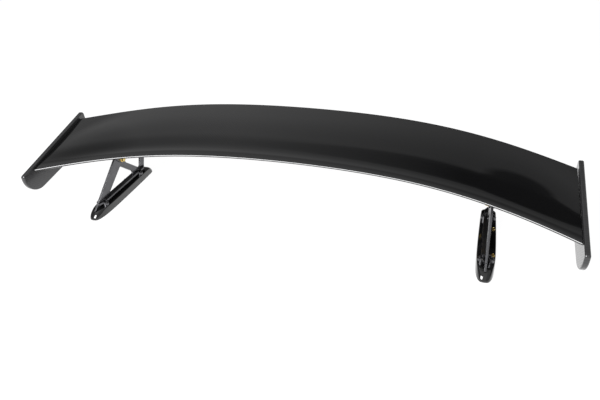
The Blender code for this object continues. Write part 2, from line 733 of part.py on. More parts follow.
class Builder:
    """Puts meshes in the scene, on one side or both, each with its material."""

    def __init__(self, parts, bench, pivot):
        self.parts = parts
        self.bench = bench
        self.pivot = pivot

    def single(self, name, mesh, look):
        """A piece of the wing on the centre line; its origin is on the incidence axis."""
        origin = self.pivot.location / MM
        mesh.transform(shift(*-origin))
        finish(add_object(name, mesh, self.parts, self.pivot, origin), look)

    def pair(self, name, mesh, look, origin, moving, number=""):
        """A left piece and its mirror image on the right; mesh is the left one about origin."""
        parent = self.pivot if moving else None
        left = add_object(f"{name}_left{number}", mesh, self.parts, parent, origin)
        finish(left, look)
        twin = mesh.copy()
        twin.transform(Matrix.Diagonal((-1, 1, 1, 1)))
        twin.flip_normals()
        opposite = (-origin[0], origin[1], origin[2])
        right = add_object(f"{name}_right{number}", twin, self.parts, parent, opposite)
        finish(right, look)

    def world_pair(self, name, mesh, look, moving):
        """As pair, for a mesh given in world coordinates."""
        origin = (UPRIGHT_X, *PIVOT) if moving else (UPRIGHT_X, 0.0, 0.0)
        mesh.transform(shift(*[-value for value in origin]))
        self.pair(name, mesh, look, origin, moving)

    def screws(self, name, mesh, look, frames, moving):
        """Copies of one fastener, each its own object with its origin in its hole."""
        for number, frame in enumerate(frames, 1):
            place, turn, _ = frame.decompose()
            body = mesh.copy()
            body.transform(turn.to_matrix().to_4x4())
            self.pair(name, body, look, place / MM, moving, f"_{number}")


def build_wing(builder, clevis_frames, slider_frames, front, rear):
    bench = builder.bench
    upper = surface(SPAN_STEPS, UPPER_ROWS, upper_skin_place, SKIN, -1.0, bench)
    lower = surface(SPAN_STEPS, LOWER_ROWS, lower_skin_place, SKIN, 1.0, bench)
    left = placed(cylinder(2.8, -20, 10, 10), clevis_frames + slider_frames)
    right = placed(cylinder(2.8, -20, 10, 10),
                   [mirrored(frame) for frame in clevis_frames + slider_frames])
    lower = combine([lower] + left + right, "DIFFERENCE", bench)
    builder.single("wing_upper_skin", upper, "carbon")
    builder.single("wing_lower_skin", lower, "carbon")
    builder.single("wing_front_spar", spar_mesh(FRONT_SPAR, bench), "carbon")
    builder.single("wing_rear_spar", spar_mesh(REAR_SPAR, bench), "carbon")
    for name, place, half, reach, frames in (
            ("front_hardpoint", front, (21.0, 21.0), (29.0, 28.0), clevis_frames),
            ("rear_hardpoint", rear, (32.0, 4.0), (18.0, 21.0), slider_frames)):
        plate = lower_sheet((UPRIGHT_X - half[0], UPRIGHT_X + half[1]),
                            (place - reach[0], place + reach[1]),
                            SKIN + BOND, HARDPOINT, 1, bench)
        holes = placed(cylinder(2.8, -20, 4, 10), frames)
        builder.world_pair(name, combine([plate] + holes, "DIFFERENCE", bench), "alloy", True)


def mirrored(frame):
    """The frame's mirror image on the car's right, still right-handed."""
    return Matrix.Diagonal((-1, 1, 1, 1)) @ frame @ Matrix.Diagonal((-1, 1, 1, 1))


def build_endplates(builder):
    bench = builder.bench
    builder.world_pair("wing_end_rib", rib_mesh(bench), "nylon", True)
    builder.world_pair("endplate", endplate_mesh(bench), "plate_carbon", True)
    screw = sunk_screw(PLATE + 6.0, SCREW_HEAD, 3.0, bench)
    outwards = Matrix.Rotation(math.radians(90), 4, "Y")
    head = PLATE_INNER + PLATE - 0.1
    frames = [shift(head, y, z) @ outwards for y, z in rib_screw_places()]
    builder.screws("endplate_screw", screw, "black_steel", frames, True)


def build_brackets(builder, clevis_frames, slider_frames, front, rear):
    bench = builder.bench
    clevis = clevis_mesh(front, clevis_frames, bench)
    slider = slider_mesh(rear, slider_frames, bench)
    builder.world_pair("front_clevis", clevis, "anodised", True)
    builder.world_pair("rear_slider", slider, "anodised", True)
    screw = sunk_screw(11.0, SCREW_HEAD, 3.0, bench)
    for name, frames, flange in (("clevis_screw", clevis_frames, CLEVIS_FLANGE),
                                 ("slider_screw", slider_frames, SLIDER_FLANGE)):
        seats = [frame @ shift(0, 0, flange + GAP - 0.1) for frame in frames]
        builder.screws(name, screw, "black_steel", seats, True)


def build_pivot(builder):
    """Bush in the upright, and the flanged bolt and nut that turn with the wing."""
    bench = builder.bench
    seat = WEB / 2 + CLEVIS_SLACK + CLEVIS_CHEEK + GAP
    bolt = flange_bolt(8.0, 2 * seat + 10.0, 13.0, 8.0, 9.0, bench)
    nut = flange_nut(8.0, 13.0, 8.0, 9.0, bench)
    bush = tube(6.0, 4.3, -WEB / 2 - GAP, WEB / 2 + GAP, bench, 16)
    build_bolted(builder, PIVOT, True, (("pivot_bolt", bolt, seat, "gold_zinc"),
                                        ("pivot_nut", nut, -seat, "gold_zinc")))
    build_bolted(builder, PIVOT, False, (("pivot_bush", bush, 0.0, "brass"),))


def build_clamp(builder):
    """Bolt through the upright's rear head and the slider's slot, with washer and nut."""
    bench = builder.bench
    slider = WEB / 2 + SLIDER_SLACK + SLIDER_PLATE + GAP
    bolt_seat = slider + CLAMP_WASHER + GAP
    nut_seat = WEB / 2 + GAP
    bolt = flange_bolt(8.0, bolt_seat + nut_seat + 10.0, 13.0, 8.0, 9.0, bench)
    nut = flange_nut(8.0, 13.0, 8.0, 9.0, bench)
    washer = tube(10.0, 4.3, 0.0, CLAMP_WASHER, bench, 16)
    build_bolted(builder, CLAMP, False, (("clamp_bolt", bolt, bolt_seat, "gold_zinc"),
                                         ("clamp_washer", washer, slider, "gold_zinc"),
                                         ("clamp_nut", nut, -nut_seat, "gold_zinc")))


def build_bolted(builder, axis, moving, pieces):
    """Pieces along an axis across the car; each is at its distance inboard of the web."""
    inboard = Matrix.Rotation(math.radians(-90), 4, "Y")
    for name, mesh, distance, look in pieces:
        flip = Matrix.Rotation(math.pi, 4, "X") if distance < 0 else Matrix.Identity(4)
        mesh.transform(inboard @ flip)
        builder.pair(name, mesh, look, (UPRIGHT_X - distance, *axis), moving)


def build_supports(builder):
    bench = builder.bench
    screws, bolts = pedestal_places()
    plate_top = GASKET + GAP + BASE_PLATE
    shell = pedestal_mesh(base_holes(GASKET + BASE_PLATE, PEDESTAL_TOP + 5, 4.5, 3.5), bench)
    level = (PEDESTAL_RINGS[1] + PEDESTAL_WALL) / PEDESTAL_TOP
    plate_outline = pedestal_outline(PEDESTAL_WALL + GAP, level)
    plate = sheet(plate_outline, GASKET + GAP, plate_top, bench)
    lid_holes = [cylinder(3.4, -1, plate_top + 1, 10, (0, y)) for y in LID_HOLES]
    plate = combine([plate] + base_holes(0, 20, 4.5, 3.5) + lid_holes, "DIFFERENCE", bench)
    gasket = sheet(pedestal_outline(1.0), 0.0, GASKET, bench)
    gasket_holes = [cylinder(5.0, -1, GASKET + 1, 10, (0, y)) for y in LID_HOLES]
    gasket = combine([gasket] + gasket_holes, "DIFFERENCE", bench)
    for name, mesh, look in (("upright", upright_mesh(bench), "anodised"),
                             ("pedestal", shell, "plastic"),
                             ("base_plate", plate, "alloy"),
                             ("gasket", gasket, "rubber")):
        builder.pair(name, mesh, look, (UPRIGHT_X, 0.0, 0.0), False)
    screw_seat = BOSS_SEAT + GAP
    bolt_seat = PEDESTAL_TOP + GAP
    screw = socket_screw(8.0, screw_seat - 2.6, 6.5, 5.0, 5.0, bench)
    bolt = flange_bolt(5.0, bolt_seat - 2.6, 8.0, 5.0, 5.3, bench)
    screw_frames = [shift(UPRIGHT_X + x, y, screw_seat) for x, y in screws]
    bolt_frames = [shift(UPRIGHT_X + x, y, bolt_seat) for x, y in bolts]
    builder.screws("upright_screw", screw, "black_steel", screw_frames, False)
    builder.screws("pedestal_bolt", bolt, "gold_zinc", bolt_frames, False)


def centre_frame(parts):
    """Move everything so that the origin is under the middle of the bounding box."""
    bpy.context.view_layer.update()
    depths = [(obj.matrix_world @ Vector(corner)).y
              for obj in parts.objects if obj.type == "MESH" for corner in obj.bound_box]
    middle = (min(depths) + max(depths)) / 2
    for obj in parts.objects:
        if obj.parent is None:
            obj.location.y -= middle


def main():
    clear_scene()
    parts = new_collection(COLLECTION)
    bench = new_collection("cutters")
    pivot = bpy.data.objects.new("incidence_axis", None)
    parts.objects.link(pivot)
    pivot.location = Vector((0, *PIVOT)) * MM
    builder = Builder(parts, bench, pivot)
    front, rear, clevis_frames, slider_frames = bracket_screws()
    build_wing(builder, clevis_frames, slider_frames, front, rear)
    build_endplates(builder)
    build_brackets(builder, clevis_frames, slider_frames, front, rear)
    build_pivot(builder)
    build_clamp(builder)
    build_supports(builder)
    centre_frame(parts)


main()
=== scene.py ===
"""The looks of the racing rear wing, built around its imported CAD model."""

import json
import math

import bmesh
import bpy
from mathutils import Matrix, Vector

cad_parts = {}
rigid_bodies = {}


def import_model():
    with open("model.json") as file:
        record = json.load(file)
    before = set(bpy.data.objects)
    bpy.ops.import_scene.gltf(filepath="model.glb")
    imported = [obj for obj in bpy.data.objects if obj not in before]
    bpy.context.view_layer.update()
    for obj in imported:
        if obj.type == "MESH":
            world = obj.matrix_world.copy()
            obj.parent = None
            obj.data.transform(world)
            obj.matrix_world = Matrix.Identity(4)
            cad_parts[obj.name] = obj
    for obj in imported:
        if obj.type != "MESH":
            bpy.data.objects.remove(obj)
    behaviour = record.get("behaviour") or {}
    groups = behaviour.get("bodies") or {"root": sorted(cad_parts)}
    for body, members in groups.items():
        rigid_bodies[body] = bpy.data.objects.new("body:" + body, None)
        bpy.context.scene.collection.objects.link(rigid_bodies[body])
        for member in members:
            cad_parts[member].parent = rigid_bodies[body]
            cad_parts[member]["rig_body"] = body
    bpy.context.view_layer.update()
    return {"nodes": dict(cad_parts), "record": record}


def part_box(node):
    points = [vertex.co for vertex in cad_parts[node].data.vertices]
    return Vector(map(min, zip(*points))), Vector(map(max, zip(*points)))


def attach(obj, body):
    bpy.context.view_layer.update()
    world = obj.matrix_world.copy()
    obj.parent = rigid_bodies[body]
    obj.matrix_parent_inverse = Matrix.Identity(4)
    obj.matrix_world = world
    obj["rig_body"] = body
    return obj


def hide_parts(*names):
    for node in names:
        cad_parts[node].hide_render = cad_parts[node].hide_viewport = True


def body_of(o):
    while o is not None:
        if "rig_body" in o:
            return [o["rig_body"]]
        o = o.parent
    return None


MM = 0.001

# the blade, as in the CAD model: millimetres, y from the middle of the pedestals
HALF_SPAN = 748.9
SPAN_REF = 750.0
NOSE_TIP = (-127.2, 125.6)
NOSE_SWEEP = (183.0, 45.0)
NOSE_ARCH = (20.3, 28.5, -28.1)
TAIL_TIP = (119.3, 188.0)
TAIL_SWEEP = (182.0, 57.0)
TAIL_ARCH = (25.7, 21.1, -32.3)
CHORD = 254.5
THICKNESS = 0.095
CAMBER = 0.042
CAMBER_PLACE = 0.42
TAIL_THICKNESS = 3.0
SKIN = 1.2
SEAM = 4.0
SEAM_GAP = 0.6
SPAN_STEPS = 150
CHORD_STEPS = 44

# endplates, uprights and pedestals
PLATE = 13.0
PLATE_INNER = 750.0
PLATE_EDGE = 3.5
UPRIGHT_X = 555.0
WEB = 6.0
PIVOT = (24.0, 112.0)
CLAMP = (160.0, 136.0)
PIVOT_HEAD = 14.0
CLAMP_HEAD = 10.5
FOOT = 22.3
RAIL_TOP = 35.0
RAIL_THICKNESS = 5.0
OPENING_LOW = 36.2
RAIL_IN = 12.5
RAIL_OUT = 6.0
BOSS_Y = (-101.0, 91.0)
BOSS_X = 11.0
BOSS_RADIUS = 9.0
BOSS_TOP = 39.0
BOSS_SLOPE = math.radians(32.0)
BOSS_SEAT = 26.0
PEDESTAL_FRONT = -160.0
PEDESTAL_REAR = 158.0
PEDESTAL_WIDE = (24.0, -50.0)
PEDESTAL_END = 20.0
PEDESTAL_LOW = 2.1
PEDESTAL_TOP = 22.0
PEDESTAL_WALL = 2.5
PEDESTAL_SHOULDER = 1.8
PEDESTAL_DRAFT = 0.035
PEDESTAL_RAKE = (32.0, 26.0)
PEDESTAL_BLUNT = 3.2
PEDESTAL_CORNER = 16.0
PEDESTAL_STEPS = 20
PEDESTAL_NOSE_STEPS = 26
CAVITY_RINGS = (-5.0, 8.0, 13.5, 17.6)
LEDGE_BOLTS = ((16.0, -76.0), (14.5, 42.0))

# outlines of flat parts: two coordinates and a corner radius
ENDPLATE_CORNERS = ((-171.5, 128.8, 6.0), (143.0, 205.8, 9.0), (152.0, 106.5, 22.0),
                    (-171.5, 52.5, 55.0))
UPRIGHT_CORNERS = (
    (-134.0, FOOT, 0.0), (-142.0, 21.1, 0.0), (-149.3, 17.6, 0.8), (-6.0, 124.5, 6.0),
    (38.0, 127.0, PIVOT_HEAD), (43.5, 90.5, 10.0), (101.5, 41.0, 7.0), (110.0, 40.0, 5.0),
    (147.0, 141.0, CLAMP_HEAD), (163.0, 149.0, CLAMP_HEAD * 0.8),
    (173.0, 138.0, CLAMP_HEAD * 0.8), (128.0, FOOT, 2.0))
WINDOW_CORNERS = ((-70.0, OPENING_LOW, 3.0), (12.5, 92.0, 6.0), (77.0, OPENING_LOW, 6.0))
RAIL_CORNERS = (
    (-1.8, -128.0, 1.6), (-RAIL_IN, -106.0, 10.0), (-RAIL_IN, 116.0, 8.0), (-4.0, 131.0, 4.0),
    (3.5, 131.0, 2.0), (RAIL_OUT, 118.0, 6.0), (RAIL_OUT, -112.0, 10.0), (1.8, -128.0, 1.6))

# holes
BOSS_WALL = 2.1
BOSS_HOLE = 4.4
PIVOT_HOLE = 6.3
CLAMP_HOLE = 4.3
SCREW_HOLE = 4.5
LEDGE_HOLE = 3.5

# fasteners: BIG is M8, LEDGE is M5
GAP = 0.3
SHANK_END = 2.6                     # height at which the vertical shanks end
BIG_RADIUS = 4.0
BIG_FLATS = 13.0
BIG_HEAD = 8.0
BIG_FLANGE = 9.0
BIG_PITCH = 1.25
LEDGE_RADIUS = 2.5
LEDGE_FLATS = 8.0
LEDGE_FLANGE = 5.3
LEDGE_PITCH = 0.8
SMALL_HEAD = 5.0
SCREW_HEAD = 6.5
SCREW_KEY = 5.0

# surfaces
UPRIGHT_EDGE = 0.7
BEVEL_SEGMENTS = 2
BEVEL_ANGLE = math.radians(40)
WELD = 0.00001                      # metres
WELD_TURNED = 0.000002
TOW = 0.0021                        # width of a tow of carbon, metres
FIBRES = (900.0, 900.0, 900.0)
TOOL_MARKS = (1200.0, 40.0, 40.0)

# camera
CAMERA_PLACE = (0.4811, -1.3227, 0.8962)
CAMERA_AZIMUTH = math.radians(19.25)
CAMERA_ELEVATION = math.radians(32.04)
CAMERA_ROLL = math.radians(-3.0)
LENS = 33.2

# studio: grey levels of the ceiling, by the angle back from overhead in degrees
CEILING_LEFT = ((-10, 0.7), (8, 0.85), (18, 0.72), (28, 0.55), (31, 0.86), (33.5, 0.74),
                (36, 0.50), (38, 0.31), (50, 0.12))
CEILING_RIGHT = ((-10, 0.7), (10, 0.6), (18, 0.42), (28, 0.20), (31, 0.42), (33.5, 0.42),
                 (37.2, 0.27), (37.5, 0.05), (38.5, 0.01), (50, 0.005))
CEILING_SIDES = (-0.38, -0.02)      # sideways directions between which left turns into right
CEILING_SLANT = 0.5
LEFT_WALL = (-0.60, -0.53)
LEFT_SHADE = 0.32
RIGHT_WALL = (0.13, 0.3)
RIGHT_LEVEL = 0.42
SOFTBOX_PLACE = (-0.9, -2.4, 1.9)
SOFTBOX_AIM = (-0.1, 0.0, 0.1)
SOFTBOX_SIZE = (2.0, 2.2)
SOFTBOX_POWER = 300.0
FLOOR_SIZE = 9.0
FLOOR_DROP = -0.0005
FLOOR_GLOW = 0.98

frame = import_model()
JOINT = frame["record"]["behaviour"]["joints"][0]
SHIFT = JOINT["pos_m"][1] - PIVOT[0] * MM      # from the CAD model's design y to the frame's
SCENE = bpy.context.scene


# ---------------------------------------------------------------- node helpers

class Nodes:
    """A material's node tree, with short calls for the nodes used here."""

    def __init__(self, owner, shader="Principled BSDF"):
        self.material = owner
        owner.use_nodes = True
        self.tree = owner.node_tree
        self.shader = self.tree.nodes[shader]

    def add(self, kind, **inputs):
        node = self.tree.nodes.new(kind)
        for key, value in inputs.items():
            socket = node.inputs[key.replace("_", " ")]
            if isinstance(value, bpy.types.NodeSocket):
                self.tree.links.new(value, socket)
            else:
                socket.default_value = value
        return node

    def math(self, operation, a, b=0.0, c=0.0):
        node = self.tree.nodes.new("ShaderNodeMath")
        node.operation = operation
        for index, value in enumerate((a, b, c)):
            if isinstance(value, bpy.types.NodeSocket):
                self.tree.links.new(value, node.inputs[index])
            else:
                node.inputs[index].default_value = value
        return node.outputs[0]

    def ramp(self, factor, stops):
        node = self.tree.nodes.new("ShaderNodeValToRGB")
        self.tree.links.new(factor, node.inputs[0])
        elements = node.color_ramp.elements
        while len(elements) < len(stops):
            elements.new(0.5)
        for element, (place, colour) in zip(elements, stops):
            element.position = place
            element.color = (*colour, 1.0)
        return node.outputs[0]

    def noise(self, vector, scale, detail=3.0, roughness=0.5):
        node = self.add("ShaderNodeTexNoise", Vector=vector, Scale=scale, Detail=detail,
                        Roughness=roughness)
        return node.outputs["Fac"]

    def coordinates(self, kind="Object"):
        return self.tree.nodes.new("ShaderNodeTexCoord").outputs[kind]

    def scaled(self, vector, scale):
        node = self.add("ShaderNodeMapping", Vector=vector)
        node.inputs["Scale"].default_value = scale
        return node.outputs[0]

    def remap(self, value, low, high):
        node = self.add("ShaderNodeMapRange", Value=value)
        node.inputs["To Min"].default_value = low
        node.inputs["To Max"].default_value = high
        return node.outputs[0]

    def blend(self, value, span, low, high):
        """From one colour to another as the value crosses the span."""
        part = self.add("ShaderNodeMapRange", Value=value)
        part.inputs["From Min"].default_value, part.inputs["From Max"].default_value = span
        mix = self.tree.nodes.new("ShaderNodeMix")
        mix.data_type = "RGBA"
        self.tree.links.new(part.outputs[0], mix.inputs["Factor"])
        for socket, colour in ((mix.inputs[6], low), (mix.inputs[7], high)):
            if isinstance(colour, bpy.types.NodeSocket):
                self.tree.links.new(colour, socket)
            else:
                socket.default_value = (*colour, 1.0)
        return mix.outputs[2]

    def bump(self, height, strength, distance):
        node = self.add("ShaderNodeBump", Height=height, Strength=strength, Distance=distance)
        self.tree.links.new(node.outputs[0], self.shader.inputs["Normal"])

    def set(self, **values):
        for key, value in values.items():
            socket = self.shader.inputs[key.replace("_", " ")]
            if isinstance(value, bpy.types.NodeSocket):
                self.tree.links.new(value, socket)
            elif isinstance(value, tuple):
                socket.default_value = (*value, 1.0)
            else:
                socket.default_value = value


def edge_wear(nodes):
    """Grows from 0 to 1 along convex edges, broken up by noise."""
    geometry = nodes.tree.nodes.new("ShaderNodeNewGeometry")
    edge = nodes.remap(geometry.outputs["Pointiness"], -6.0, 7.0)
    patchy = nodes.noise(nodes.coordinates(), 180.0, 2.0)
    worn = nodes.math("MULTIPLY", edge, nodes.math("MULTIPLY", patchy, 1.4))
    return nodes.math("MINIMUM", nodes.math("MAXIMUM", worn, 0.0), 1.0)


# ---------------------------------------------------------------- materials

def twill(nodes, across, along):
    """1 on the tows that run along, 0 on those that run across, in a 2 by 2 twill."""
    cell_a = nodes.math("FLOOR", nodes.math("DIVIDE", across, TOW))
    cell_b = nodes.math("FLOOR", nodes.math("DIVIDE", along, TOW))
    step = nodes.math("FLOORED_MODULO", nodes.math("ADD", cell_a, cell_b), 4.0)
    return nodes.math("LESS_THAN", step, 1.5)


def make_carbon(name, coordinates, axes, tones, coat_roughness):
    """Black twill under a clear coat; axes are the two directions of the cloth."""
    nodes = Nodes(bpy.data.materials.new(name))
    split = nodes.add("ShaderNodeSeparateXYZ", Vector=nodes.coordinates(coordinates))
    across, along = (split.outputs[axis] for axis in axes)
    over = twill(nodes, across, along)
    fibres = nodes.noise(nodes.scaled(nodes.coordinates(coordinates), FIBRES), 2.0, 1.0)
    tone = nodes.math("MULTIPLY_ADD", over, 0.34, nodes.math("MULTIPLY", fibres, 0.30))
    nodes.set(Base_Color=nodes.ramp(tone, [(0.0, tones[0]), (1.0, tones[1])]),
              Roughness=nodes.math("MULTIPLY_ADD", over, 0.10, 0.30),
              Coat_Weight=1.0, Coat_Roughness=coat_roughness, Coat_IOR=1.5,
              Metallic=0.8, Specular_IOR_Level=0.1)
    wave = nodes.noise(nodes.coordinates(), 34.0, 2.0)
    nodes.bump(nodes.math("MULTIPLY_ADD", over, 0.05, wave), 0.10, 0.0004)
    return nodes.material


def make_anodised():
    """Satin black anodised plate: a fine blasted grain, and slightly uneven dye."""
    nodes = Nodes(bpy.data.materials.new("satin_black_anodised"))
    grain = nodes.noise(nodes.coordinates(), 1800.0, 2.0)
    cloud = nodes.noise(nodes.coordinates(), 26.0, 3.0)
    nodes.set(Base_Color=nodes.ramp(cloud, [(0.25, (0.092, 0.092, 0.097)),
                                            (0.75, (0.135, 0.135, 0.142))]),
              Metallic=1.0, Roughness=nodes.math("MULTIPLY_ADD", grain, 0.12, 0.24))
    nodes.bump(grain, 0.06, 0.00005)
    return nodes.material


def make_gloss_black():
    """Moulded black plastic with a polished, slightly rippled surface."""
    nodes = Nodes(bpy.data.materials.new("gloss_black_plastic"))
    ripple = nodes.noise(nodes.coordinates(), 22.0, 2.0)
    dust = nodes.noise(nodes.coordinates(), 420.0, 4.0, 0.7)
    nodes.set(Base_Color=nodes.ramp(dust, [(0.0, (0.0012, 0.0012, 0.0013)),
                                           (1.0, (0.0040, 0.0040, 0.0042))]),
              Roughness=nodes.math("MULTIPLY_ADD", dust, 0.08, 0.05),
              Coat_Weight=0.6, Coat_Roughness=0.03)
    nodes.bump(ripple, 0.08, 0.0006)
    return nodes.material


def make_gold_zinc():
    """Yellow passivated zinc: gold, with pink and green in it."""
    nodes = Nodes(bpy.data.materials.new("gold_zinc"))
    cloud = nodes.noise(nodes.coordinates(), 95.0, 3.0)
    speck = nodes.noise(nodes.coordinates(), 900.0, 4.0)
    nodes.set(Base_Color=nodes.ramp(cloud, [(0.30, (0.55, 0.36, 0.10)),
                                            (0.48, (0.80, 0.56, 0.17)),
                                            (0.62, (0.74, 0.60, 0.22)),
                                            (0.75, (0.70, 0.42, 0.22))]),
              Metallic=1.0, Roughness=nodes.math("MULTIPLY_ADD", speck, 0.22, 0.18))
    nodes.bump(speck, 0.15, 0.0001)
    return nodes.material


def make_black_steel():
    """Oiled black oxide with worn corners."""
    nodes = Nodes(bpy.data.materials.new("black_oxide_steel"))
    cloud = nodes.noise(nodes.coordinates(), 240.0, 3.0)
    worn = edge_wear(nodes)
    tone = nodes.math("ADD", nodes.math("MULTIPLY", cloud, 0.4),
                      nodes.math("MULTIPLY", worn, 0.5))
    nodes.set(Base_Color=nodes.ramp(tone, [(0.0, (0.012, 0.012, 0.013)),
                                           (0.55, (0.035, 0.035, 0.037)),
                                           (1.0, (0.22, 0.22, 0.22))]),
              Metallic=0.8, Roughness=nodes.math("MULTIPLY_ADD", cloud, 0.25, 0.28))
    nodes.bump(cloud, 0.12, 0.0001)
    return nodes.material


def make_metal(name, colours, roughness):
    """Machined metal with fine tool marks."""
    nodes = Nodes(bpy.data.materials.new(name))
    marks = nodes.noise(nodes.scaled(nodes.coordinates(), TOOL_MARKS), 1.0, 4.0)
    nodes.set(Base_Color=nodes.ramp(marks, [(0.2, colours[0]), (0.8, colours[1])]),
              Metallic=1.0, Roughness=nodes.math("MULTIPLY_ADD", marks, 0.2, roughness))
    nodes.bump(marks, 0.15, 0.0002)
    return nodes.material


def make_rubber():
    nodes = Nodes(bpy.data.materials.new("foam_rubber"))
    cells = nodes.noise(nodes.coordinates(), 1400.0, 3.0, 0.7)
    nodes.set(Base_Color=nodes.ramp(cells, [(0.3, (0.010, 0.010, 0.010)),
                                            (0.8, (0.030, 0.030, 0.030))]),
              Roughness=nodes.math("MULTIPLY_ADD", cells, 0.15, 0.75))
    nodes.bump(cells, 0.5, 0.0003)
    return nodes.material


def make_nylon():
    nodes = Nodes(bpy.data.materials.new("machined_nylon"))
    marks = nodes.noise(nodes.coordinates(), 500.0, 3.0)
    nodes.set(Base_Color=nodes.ramp(marks, [(0.2, (0.014, 0.014, 0.014)),
                                            (0.9, (0.030, 0.030, 0.031))]),
              Roughness=nodes.math("MULTIPLY_ADD", marks, 0.2, 0.45))
    nodes.bump(marks, 0.2, 0.0002)
    return nodes.material


LOOKS = {
    "blade_carbon": make_carbon("blade_carbon", "UV", ("X", "Y"),
                                ((0.0050, 0.0050, 0.0054), (0.0105, 0.0107, 0.0114)), 0.015),
    "plate_carbon": make_carbon("plate_carbon", "Object", ("Y", "Z"),
                                ((0.0360, 0.0360, 0.0375), (0.0580, 0.0580, 0.0600)), 0.16),
    "black_anodised": make_anodised(),
    "gloss_black": make_gloss_black(),
    "gold_zinc": make_gold_zinc(),
    "black_steel": make_black_steel(),
    "bare_alloy": make_metal("machined_alloy", ((0.46, 0.47, 0.49), (0.66, 0.67, 0.69)), 0.24),
    "bronze": make_metal("turned_bronze", ((0.50, 0.33, 0.13), (0.68, 0.47, 0.20)), 0.25),
    "rubber": make_rubber(),
    "nylon": make_nylon(),
}


# ---------------------------------------------------------------- shapes, in design millimetres

def bake(obj):
    """The object's evaluated mesh, welded; the object is removed."""
    bpy.context.view_layer.update()
    graph = bpy.context.evaluated_depsgraph_get()
    mesh = bpy.data.meshes.new_from_object(obj.evaluated_get(graph))
    mesh.transform(obj.matrix_world)
    bm = bmesh.new()
    bm.from_mesh(mesh)
    bmesh.ops.remove_doubles(bm, verts=bm.verts, dist=WELD)
    bmesh.ops.dissolve_limit(bm, angle_limit=math.radians(0.1), verts=bm.verts, edges=bm.edges)
    bm.to_mesh(mesh)
    bm.free()
    bpy.data.objects.remove(obj, do_unlink=True)
    return mesh


def put(name, data):
    obj = bpy.data.objects.new(name, data)
    SCENE.collection.objects.link(obj)
    return obj


def shift(x, y, z):
    return Matrix.Translation(Vector((x, y, z)) * MM)


def mesh_from(bm):
    mesh = bpy.data.meshes.new("shape")
    bm.to_mesh(mesh)
    bm.free()
    return mesh


def cylinder(radius, low, high, segments=40, centre=(0, 0)):
    bm = bmesh.new()
    middle = Vector((centre[0], centre[1], (low + high) / 2)) * MM
    bmesh.ops.create_cone(bm, cap_ends=True, segments=segments, radius1=radius * MM,
                          radius2=radius * MM, depth=(high - low) * MM,
                          matrix=Matrix.Translation(middle))
    return mesh_from(bm)


def box(size, centre):
    bm = bmesh.new()
    scale = Matrix.Diagonal((*[value * MM for value in size], 1.0))
    bmesh.ops.create_cube(bm, size=1.0, matrix=Matrix.Translation(Vector(centre) * MM) @ scale)
    return mesh_from(bm)


def combine(meshes, operation):
    base = put("work", meshes[0])
    tools = [put("tool", mesh) for mesh in meshes[1:]]
    for tool in tools:
        mod = base.modifiers.new("cut", "BOOLEAN")
        mod.operation = operation
        mod.solver = "EXACT"
        mod.object = tool
    result = bake(base)
    for tool in tools:
        bpy.data.objects.remove(tool, do_unlink=True)
    return result


def rounded(corners, steps):
    """Points of a closed outline; each corner is (across, up, radius)."""
    points = []
    count = len(corners)
    for i, (across, up, radius) in enumerate(corners):
        here = Vector((across, up))
        if radius <= 0:
            points.append(here)
            continue
        back = (Vector(corners[i - 1][:2]) - here).normalized()
        ahead = (Vector(corners[(i + 1) % count][:2]) - here).normalized()
        half = back.angle(ahead) / 2
        centre = here + (back + ahead).normalized() * radius / math.sin(half)
        start = here + back * radius / math.tan(half) - centre
        end = here + ahead * radius / math.tan(half) - centre
        turn = start.angle_signed(end)
        for k in range(steps + 1):
            spoke = start.copy()
            spoke.rotate(Matrix.Rotation(-turn * k / steps, 2))
            points.append(centre + spoke)
    return points


def sheet(points, low, high, edge=0.0, edge_steps=0):
    """A flat outline in XY between two heights, its edges rounded."""
    curve = bpy.data.curves.new("outline", "CURVE")
    curve.dimensions = "2D"
    curve.fill_mode = "BOTH"
    curve.extrude = ((high - low) / 2 - edge) * MM
    curve.bevel_depth = edge * MM
    curve.bevel_resolution = edge_steps
    curve.offset = -edge * MM
    spline = curve.splines.new("POLY")
    spline.points.add(len(points) - 1)
    spline.use_cyclic_u = True
    for target, point in zip(spline.points, points):
        target.co = (point[0] * MM, point[1] * MM, 0.0, 1.0)
    mesh = bake(put("outline", curve))
    mesh.transform(shift(0, 0, (low + high) / 2))
    return mesh


def side_plate(points, thickness, edge=0.0, edge_steps=0):
    """A flat outline given as (y, z), standing in the YZ plane about x = 0."""
    mesh = sheet(points, -thickness / 2, thickness / 2, edge, edge_steps)
    mesh.transform(Matrix(((0, 0, 1, 0), (1, 0, 0, 0), (0, 1, 0, 0), (0, 0, 0, 1))))
    return mesh


def across(mesh, y, z):
    mesh.transform(shift(0, y, z) @ Matrix.Rotation(math.radians(90), 4, "Y"))
    return mesh


# ---------------------------------------------------------------- putting pieces in place

def dress(obj, look, smooth=30.0):
    obj.data.materials.clear()
    obj.data.materials.append(LOOKS[look])
    obj.data.shade_smooth()
    obj.data.set_sharp_from_angle(angle=math.radians(smooth))
    return obj


def soften(obj, width):
    """A small bevel on sharp edges, so that they catch the light."""
    mod = obj.modifiers.new("edges", "BEVEL")
    mod.width = width * MM
    mod.segments = BEVEL_SEGMENTS
    mod.limit_method = "ANGLE"
    mod.angle_limit = BEVEL_ANGLE
    mod.harden_normals = True


def even_normals(obj):
    """Flat faces stay flat next to rounded edges."""
    mod = obj.modifiers.new("normals", "WEIGHTED_NORMAL")
    mod.weight = 100
    mod.keep_sharp = True


def stand_in(name, mesh, look, body, nodes, smooth=30.0):
    """A finished piece in design millimetres that replaces CAD nodes."""
    mesh.transform(Matrix.Translation((0, SHIFT, 0)))
    obj = dress(put(name, mesh), look, smooth)
    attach(obj, body)
    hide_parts(*nodes)
    return obj


